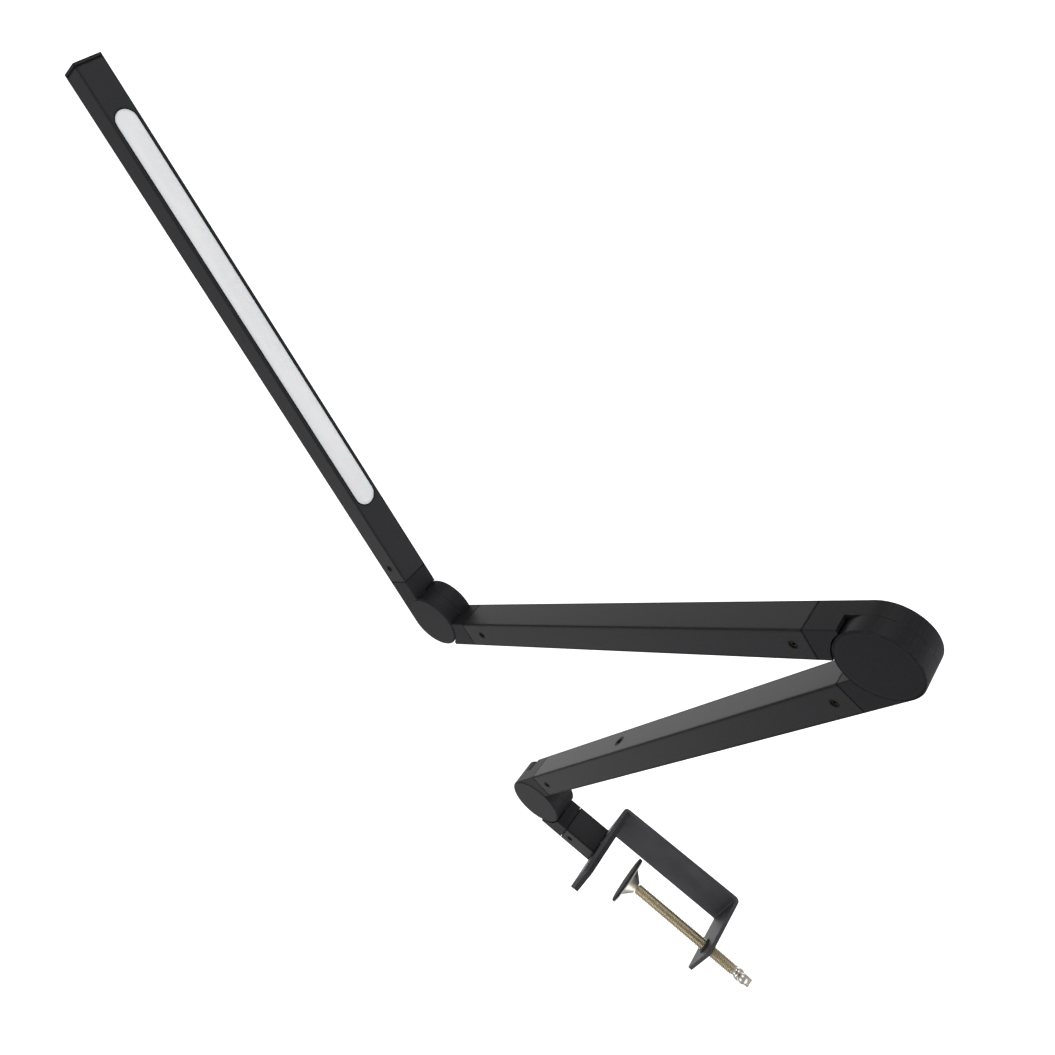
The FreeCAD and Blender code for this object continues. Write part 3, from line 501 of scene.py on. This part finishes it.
def screw_rows():
    """(height, radius or None for the thread) down the screw, between its two ends."""
    low, high = (corner.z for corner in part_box("clamp_screw"))
    shoulder, thread_end = SCREW_AXIS.z - SHOULDER_DROP, low + GRIP_LENGTH
    rows = [(low + height * MM, radius * MM) for height, radius in GRIP_PROFILE]
    steps = round((shoulder - thread_end) / (PITCH / ROWS_PER_TURN))
    rows += [(thread_end + (shoulder - thread_end) * step / steps, None) for step in range(steps + 1)]
    rows.append((shoulder + 0.1 * MM, 2.5 * MM))
    rows += [(high - depth * MM, radius * MM) for depth, radius in TIP_PROFILE]
    return rows, thread_end, shoulder


def screw_mesh():
    """The screw as rings stacked along its axis, with a chamfered run-out at both ends of the thread."""
    rows, thread_end, shoulder = screw_rows()
    mesh = bmesh.new()
    rings = []
    for height, radius in rows:
        inset = max(0, min(height - thread_end, shoulder - height))
        ring = []
        for step in range(RING_STEPS):
            turn = 2 * math.pi * step / RING_STEPS
            reach = radius or min(thread_radius(height, turn), RUN_OUT_RADIUS + inset)
            ring.append(mesh.verts.new((reach * math.cos(turn), reach * math.sin(turn), height)))
        rings.append(ring)
    for below, above in zip(rings, rings[1:]):
        for step in range(RING_STEPS):
            after = (step + 1) % RING_STEPS
            mesh.faces.new((below[step], below[after], above[after], above[step]))
    mesh.faces.new(list(reversed(rings[0])))
    mesh.faces.new(rings[-1])
    data = bpy.data.meshes.new("threaded_screw")
    mesh.to_mesh(data)
    mesh.free()
    data.transform(Matrix.Translation((SCREW_AXIS.x, SCREW_AXIS.y, 0)))
    return data


def add(name, data):
    piece = bpy.data.objects.new(name, data)
    bpy.context.scene.collection.objects.link(piece)
    return piece


def apply_modifiers(piece):
    """Replaces a piece's mesh by what its modifiers give."""
    graph = bpy.context.evaluated_depsgraph_get()
    made = bpy.data.meshes.new_from_object(piece.evaluated_get(graph))
    piece.modifiers.clear()
    piece.data = made


def rod(name, radius, half, along, place):
    """A rod about a point, as a cutter."""
    mesh = bmesh.new()
    bmesh.ops.create_cone(mesh, cap_ends=True, segments=32, radius1=radius, radius2=radius, depth=2 * half)
    data = bpy.data.meshes.new(name)
    mesh.to_mesh(data)
    mesh.free()
    data.transform(Matrix.Translation(place) @ Vector(along).to_track_quat("Z", "Y").to_matrix().to_4x4())
    return add(name, data)


def threaded_screw():
    """The clamp screw with its thread, grooves and cross hole, in place of the plain CAD one."""
    piece = add("threaded_screw", screw_mesh())
    bar = Vector(JOINTS["grip_slide"]["axis"])
    cutter = rod("cross_hole", CROSS_HOLE_RADIUS, 9 * MM, bar, centre("grip_bar"))
    cut = piece.modifiers.new("cross_hole", "BOOLEAN")
    cut.operation, cut.object, cut.solver = "DIFFERENCE", cutter, "EXACT"
    apply_modifiers(piece)
    bpy.data.objects.remove(cutter)
    piece.data.shade_smooth()
    piece.data.set_sharp_from_angle(angle=math.radians(38))
    dress(piece, metal_for("clamp_screw", "yellow_zinc"))
    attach(piece, "clamp_screw")
    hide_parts("clamp_screw")


# ---------------------------------------------------------------- floor, light and camera

# where the bright parts of the surroundings begin and reach full strength, as cosines to a direction
BACKDROP = Vector((-0.70, 0.56, 0.20)).normalized()
BACKDROP_SPREAD, HORIZON, TABLE_SPREAD = (0.50, 0.80), (-0.12, -0.02), (0.74, 0.95)
ROOM, BACKDROP_GLOW, TABLE_GLOW = 0.34, 1.0, 1.6
FLOOR_HALF, FLOOR_DEPTH = 60.0, 0.9
AIM = Vector((0.2, 0, 0.15))


def floor():
    """A plain pale floor, below the lowest point that the light reaches with its arms folded down."""
    mesh = bmesh.new()
    bmesh.ops.create_grid(mesh, x_segments=1, y_segments=1, size=FLOOR_HALF)
    data = bpy.data.meshes.new("floor")
    mesh.to_mesh(data)
    mesh.free()
    piece = add("floor", data)
    piece.location.z = -FLOOR_DEPTH
    finish = Finish("floor", (0.86, 0.86, 0.86), 0.9, 0.0, specular=0.1, glow=1.0)
    finish.shader.inputs["Emission Color"].default_value = (1, 1, 1, 1)
    dress(piece, finish.material)
    piece.visible_glossy = False


class Sky:
    """The world's shader tree, with ramps over the cosine to a direction."""

    def __init__(self):
        self.world = bpy.data.worlds.new("studio")
        self.world.use_nodes = True
        self.tree = self.world.node_tree
        self.place = self.tree.nodes.new("ShaderNodeTexCoord")

    def ramp(self, towards, spread, top):
        """0 below the first cosine to the direction, top above the second."""
        product = self.tree.nodes.new("ShaderNodeVectorMath")
        product.operation = "DOT_PRODUCT"
        product.inputs[1].default_value = towards
        self.tree.links.new(self.place.outputs["Generated"], product.inputs[0])
        made = self.tree.nodes.new("ShaderNodeMapRange")
        made.interpolation_type = "SMOOTHSTEP"
        self.tree.links.new(product.outputs["Value"], made.inputs["Value"])
        for socket, number in zip(made.inputs[1:5], (*spread, 0, top)):
            socket.default_value = number
        return made.outputs["Result"]

    def joined(self, operation, first, second):
        made = self.tree.nodes.new("ShaderNodeMath")
        made.operation = operation
        self.tree.links.new(first, made.inputs[0])
        if isinstance(second, float):
            made.inputs[1].default_value = second
        else:
            self.tree.links.new(second, made.inputs[1])
        return made.outputs["Value"]


def studio_world():
    """White behind the object above the horizon, a bright patch straight below, a dim room elsewhere."""
    sky = Sky()
    backdrop = sky.joined("MULTIPLY", sky.ramp(BACKDROP, BACKDROP_SPREAD, BACKDROP_GLOW),
                          sky.ramp(UP, HORIZON, 1.0))
    table = sky.ramp(-UP, TABLE_SPREAD, TABLE_GLOW)
    background = sky.tree.nodes["Background"]
    background.inputs["Color"].default_value = (1, 1, 1, 1)
    total = sky.joined("ADD", sky.joined("ADD", backdrop, table), ROOM)
    sky.tree.links.new(total, background.inputs["Strength"])
    bpy.context.scene.world = sky.world


def softbox(name, place, size, power):
    """A square soft light that points at the middle of the object."""
    light = bpy.data.lights.new(name, "AREA")
    light.shape, light.size, light.energy = "SQUARE", size, power
    piece = add(name, light)
    piece.location = place
    piece.rotation_mode = "QUATERNION"
    piece.rotation_quaternion = (AIM - Vector(place)).to_track_quat("-Z", "Y")


def camera():
    """The photograph's viewing angle: near the clamp, looking up along the folded arms, rolled clockwise."""
    heading, climb, roll = (math.radians(angle) for angle in (48.95, 21.96, 54.90))
    level = math.cos(climb)
    forward = Vector((-math.sin(heading) * level, math.cos(heading) * level, math.sin(climb)))
    data = bpy.data.cameras.new("camera")
    data.sensor_width = 36
    data.lens = 32.65
    data.shift_x, data.shift_y = 0.1263, -0.1174
    data.clip_start, data.clip_end = 0.05, 200
    piece = add("camera", data)
    piece.location = (0.8724, -0.4621, 0.0376)
    piece.rotation_mode = "QUATERNION"
    piece.rotation_quaternion = forward.to_track_quat("-Z", "Y") @ Quaternion((0, 0, 1), -roll)
    bpy.context.scene.camera = piece


# ---------------------------------------------------------------- the scene

for part in frame["record"]["subparts"]:
    dress(NODES[part["node"]], finish_for(part["node"], part["material_slot"]))
threaded_screw()
floor()
studio_world()
softbox("key", (1.9, 0.7, 0.9), 1.2, 9)
softbox("front", (0.3, -2.2, 0.9), 1.4, 15)
softbox("side", (-1.7, -0.9, 0.1), 0.9, 1.2)
camera()
bpy.context.scene.view_settings.view_transform = "Standard"
